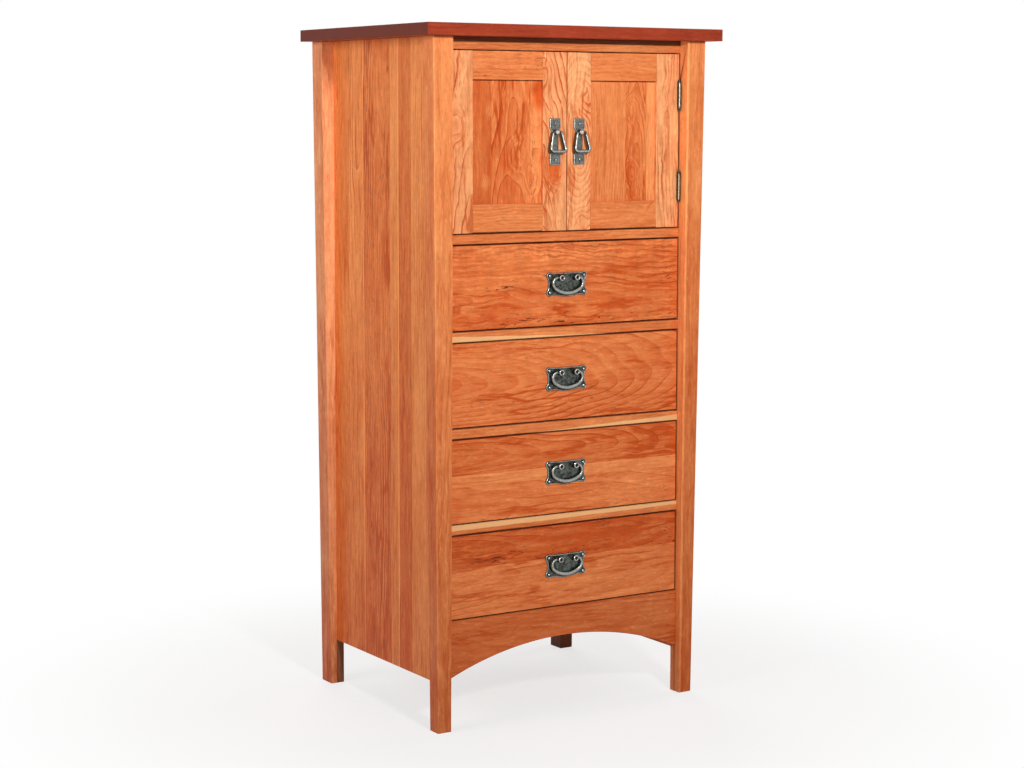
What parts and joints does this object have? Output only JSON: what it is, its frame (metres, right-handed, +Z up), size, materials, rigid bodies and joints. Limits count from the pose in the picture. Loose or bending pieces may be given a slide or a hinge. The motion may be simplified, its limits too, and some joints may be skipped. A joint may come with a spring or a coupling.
{
  "type": "tall chest of drawers",
  "caption": "Tall narrow chest with doors over drawers, tapered posts, arched apron and dark bail and ring pulls.",
  "frame": {"origin": "on the floor, under the middle of the top board", "axes": "+X to the right seen from the front, +Y to the back, +Z up; the doors and drawers face -Y"},
  "size_m": [0.704, 0.537, 1.4],
  "materials": {
    "top_cherry": "satin lacquer, darker red-brown",
    "cherry": "satin lacquer, natural cherry",
    "light_cherry": "satin lacquer, figured light cherry",
    "inside_wood": "plain unfinished light wood",
    "pewter": "dark antique pewter with worn edges",
    "hinge_metal": "dark bronze, worn on the barrel",
    "steel": "zinc plated",
    "catch_plastic": "brown moulded housing"
  },
  "bodies": {
    "case": {"top_board": "top_cherry", "front_left_post": "cherry", "front_right_post": "cherry", "rear_left_post": "cherry", "rear_right_post": "cherry", "left_side_panel": "cherry", "right_side_panel": "cherry", "back_panel": "inside_wood", "rear_rails": "inside_wood", "top_rail": "cherry", "front_rails": "light_cherry", "apron": "cherry", "drawer_runners": "inside_wood", "drawer_stops": "inside_wood", "cabinet_floor": "inside_wood", "cabinet_shelf": "inside_wood", "shelf_pins": "steel", "top_cleats": "inside_wood", "top_screws": "steel", "door_catches": "catch_plastic", "case_hinge_leaves": "hinge_metal", "hinge_pins": "hinge_metal"},
    "left_door": {"left_door_stiles": "light_cherry", "left_door_rails": "cherry", "left_door_panel": "cherry", "left_door_hinge_leaves": "hinge_metal", "left_door_catch_plate": "steel", "left_pull_plate": "pewter"},
    "left_ring": {"left_pull_ring": "pewter"},
    "right_door": {"right_door_stiles": "light_cherry", "right_door_rails": "cherry", "right_door_panel": "cherry", "right_door_hinge_leaves": "hinge_metal", "right_door_catch_plate": "steel", "right_pull_plate": "pewter"},
    "right_ring": {"right_pull_ring": "pewter"},
    "drawer_1": {"drawer_1_front": "cherry", "drawer_1_sides": "inside_wood", "drawer_1_back": "inside_wood", "drawer_1_bottom": "inside_wood", "drawer_1_pull_plate": "pewter"},
    "bail_1": {"drawer_1_bail": "pewter"},
    "drawer_2": {"drawer_2_front": "cherry", "drawer_2_sides": "inside_wood", "drawer_2_back": "inside_wood", "drawer_2_bottom": "inside_wood", "drawer_2_pull_plate": "pewter"},
    "bail_2": {"drawer_2_bail": "pewter"},
    "drawer_3": {"drawer_3_front": "cherry", "drawer_3_sides": "inside_wood", "drawer_3_back": "inside_wood", "drawer_3_bottom": "inside_wood", "drawer_3_pull_plate": "pewter"},
    "bail_3": {"drawer_3_bail": "pewter"},
    "drawer_4": {"drawer_4_front": "cherry", "drawer_4_sides": "inside_wood", "drawer_4_back": "inside_wood", "drawer_4_bottom": "inside_wood", "drawer_4_pull_plate": "pewter"},
    "bail_4": {"drawer_4_bail": "pewter"}
  },
  "joints": [
    {"name": "left_door_hinge", "type": "hinge", "parent": "case", "child": "left_door", "pos_m": [-0.2765, -0.2218, 1.1705], "axis": [0, 0, -1], "range_deg": [0, 105]},
    {"name": "left_ring_swing", "type": "hinge", "parent": "left_door", "child": "left_ring", "pos_m": [-0.0292, -0.2265, 1.1895], "axis": [-1, 0, 0], "range_deg": [0, 95]},
    {"name": "right_door_hinge", "type": "hinge", "parent": "case", "child": "right_door", "pos_m": [0.2765, -0.2218, 1.1705], "axis": [0, 0, 1], "range_deg": [0, 105]},
    {"name": "right_ring_swing", "type": "hinge", "parent": "right_door", "child": "right_ring", "pos_m": [0.0292, -0.2265, 1.1895], "axis": [-1, 0, 0], "range_deg": [0, 95]},
    {"name": "drawer_1_slide", "type": "slide", "parent": "case", "child": "drawer_1", "axis": [0, -1, 0], "range_m": [0, 0.34]},
    {"name": "bail_1_swing", "type": "hinge", "parent": "drawer_1", "child": "bail_1", "pos_m": [0, -0.224, 0.89675], "axis": [-1, 0, 0], "range_deg": [0, 100]},
    {"name": "drawer_2_slide", "type": "slide", "parent": "case", "child": "drawer_2", "axis": [0, -1, 0], "range_m": [0, 0.34]},
    {"name": "bail_2_swing", "type": "hinge", "parent": "drawer_2", "child": "bail_2", "pos_m": [0, -0.224, 0.70425], "axis": [-1, 0, 0], "range_deg": [0, 100]},
    {"name": "drawer_3_slide", "type": "slide", "parent": "case", "child": "drawer_3", "axis": [0, -1, 0], "range_m": [0, 0.34]},
    {"name": "bail_3_swing", "type": "hinge", "parent": "drawer_3", "child": "bail_3", "pos_m": [0, -0.224, 0.51175], "axis": [-1, 0, 0], "range_deg": [0, 100]},
    {"name": "drawer_4_slide", "type": "slide", "parent": "case", "child": "drawer_4", "axis": [0, -1, 0], "range_m": [0, 0.34]},
    {"name": "bail_4_swing", "type": "hinge", "parent": "drawer_4", "child": "bail_4", "pos_m": [0, -0.224, 0.31925], "axis": [-1, 0, 0], "range_deg": [0, 100]}
  ]
}
